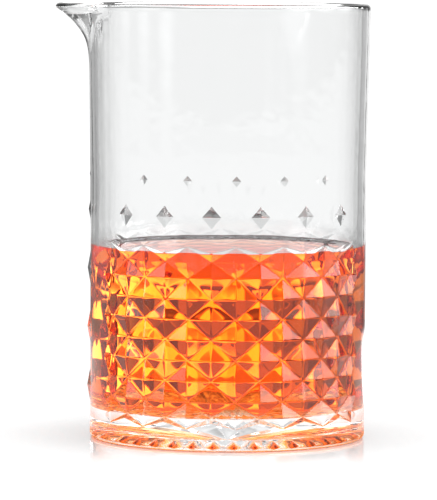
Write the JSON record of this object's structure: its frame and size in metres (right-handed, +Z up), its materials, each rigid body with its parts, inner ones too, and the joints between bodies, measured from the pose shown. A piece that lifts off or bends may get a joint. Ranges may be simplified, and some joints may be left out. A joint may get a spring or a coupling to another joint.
{
  "type": "mixing glass",
  "caption": "Straight clear glass bar tumbler with a pulled pouring lip, heavy base and diamond relief, half filled with an orange drink.",
  "frame": {"origin": "centre of the flat resting face under the base, on the glass's axis", "axes": "+Z up along the glass's axis to the rim, -X towards the pouring lip's tip, -Y towards the front diamond panel"},
  "size_m": [0.1096, 0.0982, 0.151],
  "materials": {
    "glass": "clear pressed glass, fire polished",
    "drink": "clear orange liquid"
  },
  "bodies": {
    "root": {"base": "glass", "wall": "glass", "pour_spout": "glass", "drink": "drink"}
  },
  "joints": []
}
